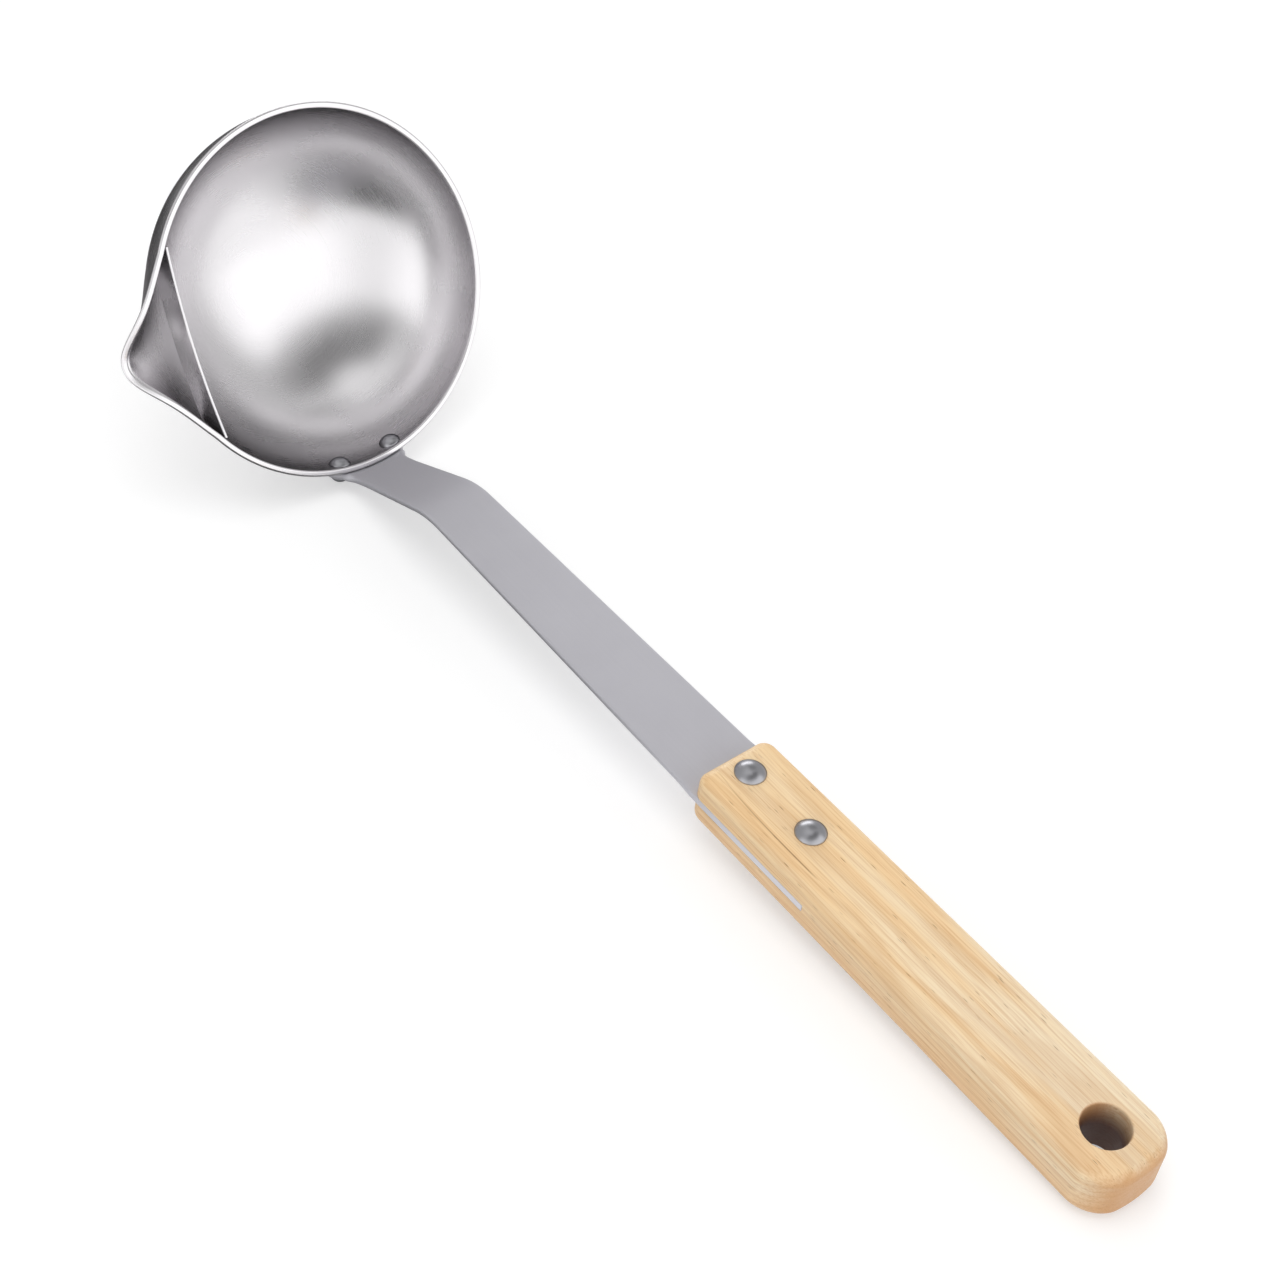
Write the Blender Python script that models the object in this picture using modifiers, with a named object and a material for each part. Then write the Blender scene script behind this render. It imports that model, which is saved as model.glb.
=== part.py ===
"""Fat separator ladle: a steel bowl with a pouring spout behind a separator plate, a riveted strap and
a wooden handle. It lies on a table, with the handle along +X and the spout toward -Y."""

import math

import bmesh
import bpy
import numpy as np
from mathutils import Matrix, Vector

MM = 0.001

# Fits between pieces
SEAT_GAP = 0.3 * MM
PIN_CLEARANCE = 0.3 * MM

# Bowl, drawn from sheet: an ellipsoid below a narrow brim, measured inside
RIM_RADIUS = 46.5 * MM
BOWL_DEPTH = 35.2 * MM
WALL = 1.1 * MM
BRIM_WIDTH = 1.6 * MM

# Spout, pressed out of the wall
SPOUT_REACH = 9.9 * MM
SPOUT_DROP = 4.0 * MM
SPOUT_HALF_WIDTH = 24.0 * MM
SPOUT_TIP_HALF_WIDTH = 11.9 * MM
SPOUT_DEPTH = 24.0 * MM
SPOUT_FOOT_SHARE = 0.6
SPOUT_FLANK_POWER = 2.2
SPOUT_FADE_POWER = 1.6

# Separator plate across the bowl, open below for the broth
PLATE_SETBACK = 8.5 * MM
PLATE_BOW = 1.2 * MM
PLATE_THICKNESS = 0.8 * MM
PLATE_HEIGHT = 10.0 * MM
PLATE_BELOW_RIM = 0.2 * MM
PLATE_END_HEIGHT = 1.0 * MM
PLATE_GAP = 0.4 * MM

# Steel strap from the bowl to the handle
STRAP_THICKNESS = 2.0 * MM
TAB_LENGTH = 11.0 * MM
TAB_SEAT_TOP = 3.4 * MM
TAB_WIDTH = 22.5 * MM
TAB_CORNER = 4.0 * MM
NECK_WIDTH = 16.2 * MM
NECK_HEIGHT = 8.0 * MM
NECK_SWEEP = 6
SHOULDER_SHARE = 0.4
NECK_FLATTENING = 4.0
BEND_WIDTH = 18.2 * MM
TANG_SIDE_GAP = 0.25 * MM
RISE_LENGTH = 35.5 * MM
RISE_ANGLE = math.radians(83.0)
HANDLE_ANGLE = math.radians(57.8)
BEND_RADIUS = 26.0 * MM
STRAP_LENGTH = 109.5 * MM
TANG_LENGTH = 40.0 * MM

# Wooden handle
WOOD_LENGTH = 137.7 * MM
WOOD_WIDTH = 25.0 * MM
WOOD_FRONT_WIDTH = 22.4 * MM
WOOD_THICKNESS = 15.0 * MM
WOOD_EDGE = 2.4 * MM
FRONT_CORNER = 1.4 * MM
END_CORNER = 7.4 * MM
END_BOW = 2.2 * MM
HANG_HOLE_DIAMETER = 11.6 * MM
HANG_HOLE_FROM_END = 13.2 * MM
HANG_HOLE_EASE = 0.8 * MM
GRIP_FACE_MARGIN = 2.0 * MM

# Rivets
BOWL_RIVET_DROP = 4.2 * MM
BOWL_RIVET_SPACING = 16.2 * MM
BOWL_RIVET_SHANK = 3.0 * MM
BOWL_RIVET_HEAD = 5.8 * MM
BOWL_RIVET_DOME = 1.6 * MM
BOWL_RIVET_TAIL = 4.6 * MM
BOWL_RIVET_TAIL_DOME = 1.1 * MM
HANDLE_RIVET_FROM_FRONT = 6.9 * MM
HANDLE_RIVET_SPACING = 21.5 * MM
HANDLE_RIVET_SHANK = 4.0 * MM
HANDLE_RIVET_HEAD = 7.8 * MM
HANDLE_RIVET_DOME = 1.9 * MM

# Mesh fineness
SPOUT_STEP = math.radians(2.5)
SPOUT_SECTOR = math.radians(40.0)
BOWL_COLUMNS = 40
BOWL_RINGS = 12
STRAP_COLUMNS = 8
ROUND_STEPS = 24
ARC_STEPS = 6
EDGE_STEPS = 3
TAB_ROWS = 8
NECK_ROWS = 5
LEAST_CORNER = 0.3 * MM
MERGE_DISTANCE = 0.01 * MM
SMOOTH_ANGLE = math.radians(40.0)
SEARCH_STEPS = 50

STEEL_BRUSHED = ((0.62, 0.62, 0.64), 0.34, 1.0)
STEEL_SATIN = ((0.55, 0.55, 0.57), 0.42, 1.0)
STEEL_RIVET = ((0.60, 0.60, 0.61), 0.28, 1.0)
RUBBERWOOD = ((0.71, 0.47, 0.24), 0.55, 0.0)


def clear_scene():
    for old in list(bpy.data.objects):
        bpy.data.objects.remove(old, do_unlink=True)


def new_collection(name):
    collection = bpy.data.collections.new(name)
    bpy.context.scene.collection.children.link(collection)
    return collection


def new_empty(name, collection, parent=None, matrix=None):
    empty = bpy.data.objects.new(name, None)
    collection.objects.link(empty)
    empty.parent = parent
    if matrix is not None:
        empty.matrix_local = matrix
    return empty


def new_part(name, mesh, collection, parent, finish, matrix=None):
    part = bpy.data.objects.new(name, mesh)
    collection.objects.link(part)
    part.parent = parent
    if matrix is not None:
        part.matrix_local = matrix
    colour, roughness, metallic = finish
    material = bpy.data.materials.new(name)
    material.use_nodes = True
    shader = material.node_tree.nodes["Principled BSDF"]
    shader.inputs["Base Color"].default_value = (*colour, 1.0)
    shader.inputs["Roughness"].default_value = roughness
    shader.inputs["Metallic"].default_value = metallic
    mesh.materials.append(material)
    return part


def new_cutter(name, mesh, collection, parent, matrix=None):
    cutter = bpy.data.objects.new(name, mesh)
    collection.objects.link(cutter)
    cutter.parent = parent
    if matrix is not None:
        cutter.matrix_local = matrix
    cutter.hide_render = True
    cutter.display_type = "WIRE"
    return cutter


def cut(part, cutter):
    boolean = part.modifiers.new("Cut " + cutter.name, "BOOLEAN")
    boolean.operation = "DIFFERENCE"
    boolean.object = cutter


def solidify(part, thickness, offset):
    shell = part.modifiers.new("Sheet", "SOLIDIFY")
    shell.thickness = thickness
    shell.offset = offset
    shell.use_even_offset = True


def smooth(mesh):
    mesh.shade_smooth()
    mesh.set_sharp_from_angle(angle=SMOOTH_ANGLE)


def loft(name, rows, closed=False, capped=False, pole=None):
    """Skin rows of points; closed joins each row's ends, capped fills the first and last row, and
    pole fans the last row to one point."""
    mesh = bpy.data.meshes.new(name)
    bm = bmesh.new()
    rings = [[bm.verts.new(point) for point in row] for row in rows]
    count = len(rings[0])
    spans = count if closed else count - 1
    for upper, lower in zip(rings, rings[1:]):
        for i in range(spans):
            j = (i + 1) % count
            bm.faces.new((upper[i], upper[j], lower[j], lower[i]))
    if pole is not None:
        tip = bm.verts.new(pole)
        for i in range(spans):
            bm.faces.new((rings[-1][i], rings[-1][(i + 1) % count], tip))
    if capped:
        bm.faces.new(rings[0][::-1])
        bm.faces.new(rings[-1])
        bmesh.ops.recalc_face_normals(bm, faces=bm.faces)
    bm.to_mesh(mesh)
    bm.free()
    return mesh


def turned(name, profile):
    """Mesh turned about Z from (radius, height) points that run down the outer side."""
    mesh = bpy.data.meshes.new(name)
    points = [(radius, 0.0, height) for radius, height in profile]
    mesh.from_pydata(points, [(i, i + 1) for i in range(len(points) - 1)], [])
    holder = bpy.data.objects.new(name, mesh)
    bpy.context.scene.collection.objects.link(holder)
    screw = holder.modifiers.new("Turn", "SCREW")
    screw.steps = ROUND_STEPS
    screw.render_steps = ROUND_STEPS
    screw.use_merge_vertices = True
    screw.merge_threshold = MERGE_DISTANCE
    return to_mesh(holder, name)


def to_mesh(holder, name):
    """Evaluated mesh of an object that isn't needed after it."""
    graph = bpy.context.evaluated_depsgraph_get()
    mesh = bpy.data.meshes.new_from_object(holder.evaluated_get(graph))
    mesh.name = name
    bpy.data.objects.remove(holder, do_unlink=True)
    bm = bmesh.new()
    bm.from_mesh(mesh)
    bmesh.ops.remove_doubles(bm, verts=bm.verts, dist=MERGE_DISTANCE)
    bm.to_mesh(mesh)
    bm.free()
    return mesh


def cylinder(name, radius, length):
    mesh = bpy.data.meshes.new(name)
    bm = bmesh.new()
    bmesh.ops.create_cone(
        bm, cap_ends=True, segments=ROUND_STEPS, radius1=radius, radius2=radius, depth=length)
    bm.to_mesh(mesh)
    bm.free()
    return mesh


def dome(radius, height, base, sign):
    """Points of a domed head from its crown to its edge, on the plane at base."""
    sphere = (radius * radius + height * height) / (2.0 * height)
    full = math.asin(min(1.0, radius / sphere))
    points = []
    for i in range(ARC_STEPS):
        angle = full * i / ARC_STEPS
        points.append((sphere * math.sin(angle), base + sign * (height - sphere * (1 - math.cos(angle)))))
    points.append((radius, base))
    return points


def rivet_mesh(name, head, tail, shank, grip):
    """Rivet with a domed head and tail, each a diameter and height; its grip runs down from z = 0."""
    top = dome(head[0] / 2, head[1], 0.0, 1)
    bottom = dome(tail[0] / 2, tail[1], -grip, -1)
    profile = top + [(shank / 2, 0.0), (shank / 2, -grip)] + bottom[::-1]
    mesh = turned(name, profile)
    smooth(mesh)
    return mesh


def spout_share(x, depth):
    """Share of the spout's reach at a distance x beside its middle and a depth below the rim."""
    fade = max(0.0, 1.0 - depth / SPOUT_DEPTH)
    narrow = SPOUT_FOOT_SHARE + (1.0 - SPOUT_FOOT_SHARE) * fade
    side = abs(x) / (SPOUT_HALF_WIDTH * narrow)
    if side >= 1.0:
        return 0.0
    flank = 1.0 + (abs(x) / (SPOUT_TIP_HALF_WIDTH * narrow)) ** SPOUT_FLANK_POWER
    return (1.0 - side * side) / flank * fade ** SPOUT_FADE_POWER


def bowl_point(azimuth, polar):
    """Point of the inner wall; polar is 0 at the rim and a right angle at the bottom."""
    radius = RIM_RADIUS * math.cos(polar)
    depth = BOWL_DEPTH * math.sin(polar)
    x = radius * math.cos(azimuth)
    y = radius * math.sin(azimuth)
    share = spout_share(x, depth) if y < 0 else 0.0
    return Vector((x, y - SPOUT_REACH * share, -depth - SPOUT_DROP * share * share))


def bowl_azimuths():
    """Columns around the bowl, closer together in the spout."""
    spout_count = round(2 * SPOUT_SECTOR / SPOUT_STEP)
    start = -math.pi / 2 - SPOUT_SECTOR
    columns = [start + 2 * SPOUT_SECTOR * i / spout_count for i in range(spout_count)]
    plain = 2 * math.pi - 2 * SPOUT_SECTOR
    columns += [start + 2 * SPOUT_SECTOR + plain * i / BOWL_COLUMNS for i in range(BOWL_COLUMNS)]
    return columns


def make_bowl(collection, parent):
    azimuths = bowl_azimuths()
    rim = [bowl_point(azimuth, 0.0) for azimuth in azimuths]
    count = len(rim)
    brim = []
    for i in range(count):
        along = rim[(i + 1) % count] - rim[i - 1]
        outward = Vector((along.y, -along.x, 0.0)).normalized()
        brim.append(rim[i] + outward * BRIM_WIDTH)
    rows = [brim, rim]
    for ring in range(1, BOWL_RINGS):
        polar = math.pi / 2 * ring / BOWL_RINGS
        rows.append([bowl_point(azimuth, polar) for azimuth in azimuths])
    mesh = loft("bowl", rows, closed=True, pole=(0.0, 0.0, -BOWL_DEPTH))
    smooth(mesh)
    bowl = new_part("bowl", mesh, collection, parent, STEEL_BRUSHED)
    solidify(bowl, WALL, -1.0)
    return bowl


def make_plate(collection, parent):
    """Bowed plate across the bowl, its ends following the wall down to a straight lower edge."""
    radius = RIM_RADIUS - PLATE_GAP
    depth = BOWL_DEPTH - PLATE_GAP
    end = PLATE_BELOW_RIM + PLATE_END_HEIGHT
    near = RIM_RADIUS - PLATE_SETBACK
    far = near + PLATE_THICKNESS
    reach = math.sqrt(radius * radius * (1.0 - (end / depth) ** 2) - far * far)

    def bow(x):
        return PLATE_BOW * (1.0 - (x / reach) ** 2)

    def half_width(below):
        x = reach
        for _ in range(SEARCH_STEPS):
            x = math.sqrt(max(0.0, radius * radius * (1.0 - (below / depth) ** 2) - (far + bow(x)) ** 2))
        return x

    top = PLATE_BELOW_RIM
    bottom = top + PLATE_HEIGHT
    foot = half_width(bottom)
    levels = [end + (bottom - end) * i / ARC_STEPS for i in range(ARC_STEPS)]
    left = [(-half_width(level), level) for level in levels]
    middle = [(foot * (2.0 * i / ROUND_STEPS - 1.0), bottom) for i in range(ROUND_STEPS + 1)]
    right = [(-x, level) for x, level in reversed(left)]
    rows = [[], []]
    for x, level in left + middle + right:
        y = -near - bow(x)
        rows[0].append((x, y, -top))
        rows[1].append((x, y, -level))
    mesh = loft("separator_plate", rows)
    plate = new_part("separator_plate", mesh, collection, parent, STEEL_BRUSHED)
    solidify(plate, PLATE_THICKNESS, -1.0)
    return plate


def wall_frame(below, azimuth=0.0):
    """Point on the outer wall at a depth below the rim, and the wall's outward normal."""
    radius = RIM_RADIUS + WALL
    depth = BOWL_DEPTH + WALL
    level = -below
    out = radius * math.sqrt(1.0 - (level / depth) ** 2)
    normal = Vector((out / radius ** 2, 0.0, level / depth ** 2)).normalized()
    turn = Matrix.Rotation(azimuth, 3, "Z")
    return turn @ Vector((out, 0.0, level)), turn @ normal


def strap_bend():
    """Upper face of the strap where it leaves the brim, and where it bends to the handle."""
    start = Vector((RIM_RADIUS + BRIM_WIDTH + SEAT_GAP, 0.0, 0.0))
    rise = Vector((math.cos(RISE_ANGLE), 0.0, math.sin(RISE_ANGLE)))
    return start, start + rise * RISE_LENGTH


def handle_matrix():
    """Frame of the handle: X along it from the bend, Z up through its upper face, at mid thickness."""
    bend = strap_bend()[1]
    turn = Matrix.Rotation(-HANDLE_ANGLE, 4, "Y")
    middle = Matrix.Translation((0.0, 0.0, -STRAP_THICKNESS / 2))
    return Matrix.Translation(bend) @ turn @ middle


def tab_half_width(from_end):
    """Half width of the tab, whose lower corners are round."""
    short = max(0.0, TAB_CORNER - from_end)
    return TAB_WIDTH / 2 - TAB_CORNER + math.sqrt(TAB_CORNER ** 2 - short ** 2)


def strap_stations():
    """Stations along the strap: point on its inner face, half width, radius of its cross curve."""
    start, bend = strap_bend()
    along = (bend - start).normalized()
    stations = []
    for i in range(TAB_ROWS + 1):
        share = 1.0 - math.cos(math.pi / 2 * i / TAB_ROWS)
        below = TAB_LENGTH - (TAB_LENGTH - TAB_SEAT_TOP) * share
        point, normal = wall_frame(below)
        point += normal * SEAT_GAP
        stations.append((point, tab_half_width(TAB_LENGTH - below), point.x))
    under_brim = start - along * WALL
    neck = NECK_WIDTH / 2
    shoulder = (TAB_WIDTH / 2 - neck) * SHOULDER_SHARE
    stations.append((under_brim, neck + shoulder, under_brim.x))
    for i in range(NECK_ROWS + 1):
        share = i / NECK_ROWS
        half = neck + shoulder * (1.0 - share) ** NECK_SWEEP
        curve = start.x * (1.0 + NECK_FLATTENING * share)
        stations.append((start + along * NECK_HEIGHT * share, half, curve))
    turn = RISE_ANGLE - HANDLE_ANGLE
    run = BEND_RADIUS * math.tan(turn / 2)
    arc_start = bend - along * run
    normal = Vector((along.z, 0.0, -along.x))
    centre = arc_start + normal * BEND_RADIUS
    half = BEND_WIDTH / 2
    for i in range(ARC_STEPS + 1):
        spin = Matrix.Rotation(turn * i / ARC_STEPS, 3, "Y")
        stations.append((centre + spin @ (arc_start - centre), half, None))
    tang = WOOD_FRONT_WIDTH / 2 - TANG_SIDE_GAP
    ahead = Vector((math.cos(HANDLE_ANGLE), 0.0, math.sin(HANDLE_ANGLE)))
    for distance in (STRAP_LENGTH - SEAT_GAP, STRAP_LENGTH + TANG_LENGTH):
        stations.append((bend + ahead * distance, tang, None))
    return stations


def make_strap(collection, parent):
    rows = []
    for point, half, curve in strap_stations():
        row = []
        for i in range(STRAP_COLUMNS + 1):
            y = half * (2.0 * i / STRAP_COLUMNS - 1.0)
            sag = curve - math.sqrt(curve * curve - y * y) if curve else 0.0
            row.append((point.x - sag, y, point.z))
        rows.append(row)
    mesh = loft("shank", rows)
    smooth(mesh)
    strap = new_part("shank", mesh, collection, parent, STEEL_SATIN)
    solidify(strap, STRAP_THICKNESS, 1.0)
    return strap


def wood_outline(inset):
    """Plan of the handle, drawn in by an inset: narrower in front, with a bowed, rounded end."""
    half = WOOD_WIDTH / 2 - inset
    front = max(FRONT_CORNER - inset, LEAST_CORNER)
    back = max(END_CORNER - inset, LEAST_CORNER)
    end = WOOD_LENGTH - END_BOW - inset
    corners = (
        (inset + front, front - half, front, math.pi),
        (end - back, back - half, back, math.pi * 1.5),
        (end - back, half - back, back, 0.0),
        (inset + front, half - front, front, math.pi / 2),
    )
    points = []
    for x, y, radius, first in corners:
        for i in range(ARC_STEPS + 1):
            angle = first + math.pi / 2 * i / ARC_STEPS
            points.append((x + radius * math.cos(angle), y + radius * math.sin(angle)))
    rear = slice(ARC_STEPS + 1, 3 * (ARC_STEPS + 1))
    points[rear] = [(x + END_BOW * (1.0 - (y / half) ** 2), y) for x, y in points[rear]]
    taper = 1.0 - WOOD_FRONT_WIDTH / WOOD_WIDTH
    return [(x, y * (1.0 - taper * (1.0 - x / WOOD_LENGTH))) for x, y in points]


def split_grip_faces(mesh):
    """Edges across the handle past the rear rivet and before the hole, with one plain face between them."""
    rivet = HANDLE_RIVET_FROM_FRONT + HANDLE_RIVET_SPACING + HANDLE_RIVET_HEAD / 2
    hole = WOOD_LENGTH - HANG_HOLE_FROM_END - HANG_HOLE_DIAMETER / 2 - 2 * HANG_HOLE_EASE
    bm = bmesh.new()
    bm.from_mesh(mesh)
    for x in (rivet + GRIP_FACE_MARGIN, hole - GRIP_FACE_MARGIN):
        whole = bm.verts[:] + bm.edges[:] + bm.faces[:]
        bmesh.ops.bisect_plane(bm, geom=whole, plane_co=(x, 0.0, 0.0), plane_no=(1.0, 0.0, 0.0))
    bm.to_mesh(mesh)
    bm.free()


def make_wood(collection, parent):
    """Outlines stacked through the thickness, drawn in toward both faces to round the edges."""
    levels = []
    for i in range(EDGE_STEPS + 1):
        angle = math.pi / 2 * i / EDGE_STEPS
        height = WOOD_THICKNESS / 2 - WOOD_EDGE * (1.0 - math.cos(angle))
        levels.append((height, WOOD_EDGE * (1.0 - math.sin(angle))))
    levels += [(-height, inset) for height, inset in reversed(levels)]
    rows = [[(x, y, height) for x, y in wood_outline(inset)] for height, inset in levels]
    mesh = loft("wood_handle", rows, closed=True, capped=True)
    split_grip_faces(mesh)
    smooth(mesh)
    place = Matrix.Translation((STRAP_LENGTH, 0.0, 0.0))
    return new_part("wood_handle", mesh, collection, parent, RUBBERWOOD, place)


def cut_wood(wood, cutters, handle):
    """Slot for the tang, open in front and at both sides, and the eased hanging hole."""
    slot_mesh = bpy.data.meshes.new("tang_slot")
    bm = bmesh.new()
    bmesh.ops.create_cube(bm, size=1.0)
    slot_length = 2 * (TANG_LENGTH + SEAT_GAP)
    slot_height = STRAP_THICKNESS + 2 * SEAT_GAP
    bmesh.ops.scale(bm, vec=(slot_length, 2 * WOOD_WIDTH, slot_height), verts=bm.verts)
    bm.to_mesh(slot_mesh)
    bm.free()
    place = Matrix.Translation((STRAP_LENGTH, 0.0, 0.0))
    cut(wood, new_cutter("tang_slot", slot_mesh, cutters, handle, place))
    half = WOOD_THICKNESS / 2
    radius = HANG_HOLE_DIAMETER / 2
    wide = radius + 2 * HANG_HOLE_EASE
    past = half + HANG_HOLE_EASE
    throat = half - HANG_HOLE_EASE
    profile = [(0.0, past), (wide, past), (radius, throat), (radius, -throat), (wide, -past), (0.0, -past)]
    place = Matrix.Translation((STRAP_LENGTH + WOOD_LENGTH - HANG_HOLE_FROM_END, 0.0, 0.0))
    cut(wood, new_cutter("hanging_hole", turned("hanging_hole", profile), cutters, handle, place))


def add_handle_rivets(parts, cutters, handle, pierced):
    grip = WOOD_THICKNESS + 2 * SEAT_GAP
    bore = HANDLE_RIVET_SHANK / 2 + PIN_CLEARANCE
    for i, name in enumerate(("handle_rivet_front", "handle_rivet_rear")):
        x = STRAP_LENGTH + HANDLE_RIVET_FROM_FRONT + i * HANDLE_RIVET_SPACING
        head = (HANDLE_RIVET_HEAD, HANDLE_RIVET_DOME)
        mesh = rivet_mesh(name, head, head, HANDLE_RIVET_SHANK, grip)
        new_part(name, mesh, parts, handle, STEEL_RIVET, Matrix.Translation((x, 0.0, grip / 2)))
        hole = cylinder(name + "_bore", bore, 2 * WOOD_THICKNESS)
        cutter = new_cutter(name + "_bore", hole, cutters, handle, Matrix.Translation((x, 0.0, 0.0)))
        for piece in pierced:
            cut(piece, cutter)


def add_bowl_rivets(parts, cutters, ladle, pierced):
    """Two rivets square to the wall, their heads inside the bowl and outside the strap's tab."""
    grip = WALL + STRAP_THICKNESS + 3 * SEAT_GAP
    bore = BOWL_RIVET_SHANK / 2 + PIN_CLEARANCE
    for side, name in ((-1, "bowl_rivet_left"), (1, "bowl_rivet_right")):
        azimuth = side * math.asin(BOWL_RIVET_SPACING / 2 / RIM_RADIUS)
        point, normal = wall_frame(BOWL_RIVET_DROP, azimuth)
        turn = (-normal).to_track_quat("Z", "Y").to_matrix().to_4x4()
        head = (BOWL_RIVET_HEAD, BOWL_RIVET_DOME)
        tail = (BOWL_RIVET_TAIL, BOWL_RIVET_TAIL_DOME)
        mesh = rivet_mesh(name, head, tail, BOWL_RIVET_SHANK, grip)
        seat = point - normal * (WALL + SEAT_GAP)
        new_part(name, mesh, parts, ladle, STEEL_RIVET, Matrix.Translation(seat) @ turn)
        hole = cylinder(name + "_bore", bore, 4 * grip)
        cutter = new_cutter(name + "_bore", hole, cutters, ladle, Matrix.Translation(point) @ turn)
        for piece in pierced:
            cut(piece, cutter)


def corners_of(objects):
    """Evaluated points of some objects, in world space."""
    bpy.context.view_layer.update()
    graph = bpy.context.evaluated_depsgraph_get()
    clouds = []
    for item in objects:
        shown = item.evaluated_get(graph)
        mesh = shown.to_mesh()
        clouds.append(np.array([item.matrix_world @ vertex.co for vertex in mesh.vertices]))
        shown.to_mesh_clear()
    return np.concatenate(clouds)


def lay_down(ladle, bowl_end, handle_end):
    """Turn the ladle until both ends touch the table, with the middle of its footprint at the origin."""
    bowl_points = corners_of(bowl_end)
    handle_points = corners_of(handle_end)

    def lowest(points, angle):
        return float((points[:, 2] * math.cos(angle) - points[:, 0] * math.sin(angle)).min())

    low, high = 0.0, math.pi / 2
    for _ in range(SEARCH_STEPS):
        angle = (low + high) / 2
        if lowest(bowl_points, angle) < lowest(handle_points, angle):
            low = angle
        else:
            high = angle
    ladle.rotation_euler = (0.0, (low + high) / 2, 0.0)
    points = corners_of(bowl_end + handle_end)
    least = points.min(axis=0)
    most = points.max(axis=0)
    ladle.location = (-(least[0] + most[0]) / 2, -(least[1] + most[1]) / 2, -least[2])
    bpy.context.view_layer.update()


def main():
    clear_scene()
    parts = new_collection("Fat separator ladle")
    cutters = new_collection("Cutters")
    ladle = new_empty("ladle", parts)
    handle = new_empty("handle_axis", parts, ladle, handle_matrix())
    bowl = make_bowl(parts, ladle)
    make_plate(parts, ladle)
    strap = make_strap(parts, ladle)
    wood = make_wood(parts, handle)
    cut_wood(wood, cutters, handle)
    add_handle_rivets(parts, cutters, handle, (wood, strap))
    add_bowl_rivets(parts, cutters, ladle, (bowl, strap))
    meshes = [item for item in parts.objects if item.type == "MESH"]
    handle_end = [item for item in meshes if item.parent == handle]
    bowl_end = [item for item in meshes if item.parent == ladle]
    lay_down(ladle, bowl_end, handle_end)


main()
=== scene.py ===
import math

import bmesh
import bpy
from mathutils import Matrix, Vector


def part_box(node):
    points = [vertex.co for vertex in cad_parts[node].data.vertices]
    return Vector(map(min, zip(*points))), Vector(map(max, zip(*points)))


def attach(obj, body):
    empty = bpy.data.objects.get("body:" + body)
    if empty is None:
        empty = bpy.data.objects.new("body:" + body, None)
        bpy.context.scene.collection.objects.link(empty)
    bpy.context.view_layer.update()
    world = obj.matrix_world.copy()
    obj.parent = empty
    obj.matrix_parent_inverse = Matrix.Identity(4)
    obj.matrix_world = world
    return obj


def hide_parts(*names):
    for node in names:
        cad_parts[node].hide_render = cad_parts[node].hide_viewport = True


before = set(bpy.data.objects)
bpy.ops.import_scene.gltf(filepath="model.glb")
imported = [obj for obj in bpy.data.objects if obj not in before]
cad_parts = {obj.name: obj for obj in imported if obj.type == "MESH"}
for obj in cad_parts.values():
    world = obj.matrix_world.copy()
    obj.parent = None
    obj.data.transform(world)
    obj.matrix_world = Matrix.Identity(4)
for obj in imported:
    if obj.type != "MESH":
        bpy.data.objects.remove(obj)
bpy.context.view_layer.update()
print("frame loaded:", ", ".join(sorted(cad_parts)))

scene = bpy.context.scene
scene.view_settings.view_transform = "Standard"
mm = 0.001

# how the ladle lies: its own frame has the rim's middle at the origin and the handle toward +X
lay = {"tilt": 60.22878568609086, "move": (-0.1320776, 0.00495, 0.0471142)}
ladlePlace = Matrix.Translation(lay["move"]) @ Matrix.Rotation(math.radians(lay["tilt"]), 4, "Y")


def toLinear(hexText):
    shares = [int(hexText[i:i + 2], 16) / 255 for i in (0, 2, 4)]
    linear = [s / 12.92 if s <= 0.04045 else ((s + 0.055) / 1.055) ** 2.4 for s in shares]
    return (*linear, 1.0)


# settings are node attributes or input names, links go from an output to an input name or number
def addNode(tree, kind, settings=None, links=None):
    node = tree.nodes.new(kind)
    for key, value in (settings or {}).items():
        if isinstance(key, str) and hasattr(node, key):
            setattr(node, key, value)
        else:
            node.inputs[key].default_value = value
    for key, source in (links or {}).items():
        tree.links.new(source, node.inputs[key])
    return node


def newMaterial(name):
    material = bpy.data.materials.new(name)
    material.use_nodes = True
    tree = material.node_tree
    tree.nodes.clear()
    return material, tree


# each piece carries its place in its own frame, in millimetres, for the patterns in its material
def finishMesh(mesh, place, crease=None):
    back = place.inverted()
    own = mesh.attributes.new("own", "FLOAT_VECTOR", "POINT")
    for vertex, item in zip(mesh.vertices, own.data):
        item.vector = (back @ vertex.co) / mm
    mesh.shade_smooth()
    if crease is not None:  # edges that turn more than this many degrees stay crisp
        mesh.set_sharp_from_angle(angle=math.radians(crease))
    return mesh


# rows of points joined into a closed skin; a pole closes an end to a point, otherwise it gets a cap
def skin(name, rows, place, poles=(None, None)):
    bm = bmesh.new()
    rings = [[bm.verts.new(place @ Vector(point)) for point in row] for row in rows]
    count = len(rings[0])
    for ringA, ringB in zip(rings, rings[1:]):
        for i in range(count):
            j = (i + 1) % count
            bm.faces.new((ringA[i], ringA[j], ringB[j], ringB[i]))
    for ring, pole in ((rings[0], poles[0]), (rings[-1], poles[1])):
        if pole is None:
            bm.faces.new(ring)
        else:
            tip = bm.verts.new(place @ Vector(pole))
            for i in range(count):
                bm.faces.new((ring[i], ring[(i + 1) % count], tip))
    bmesh.ops.recalc_face_normals(bm, faces=bm.faces)
    mesh = bpy.data.meshes.new(name)
    bm.to_mesh(mesh)
    bm.free()
    return mesh


# points of a circle in the XY plane
def circle(radius, height, steps):
    turns = [2 * math.pi * i / steps for i in range(steps)]
    return [(radius * math.cos(a), radius * math.sin(a), height) for a in turns]


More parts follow.
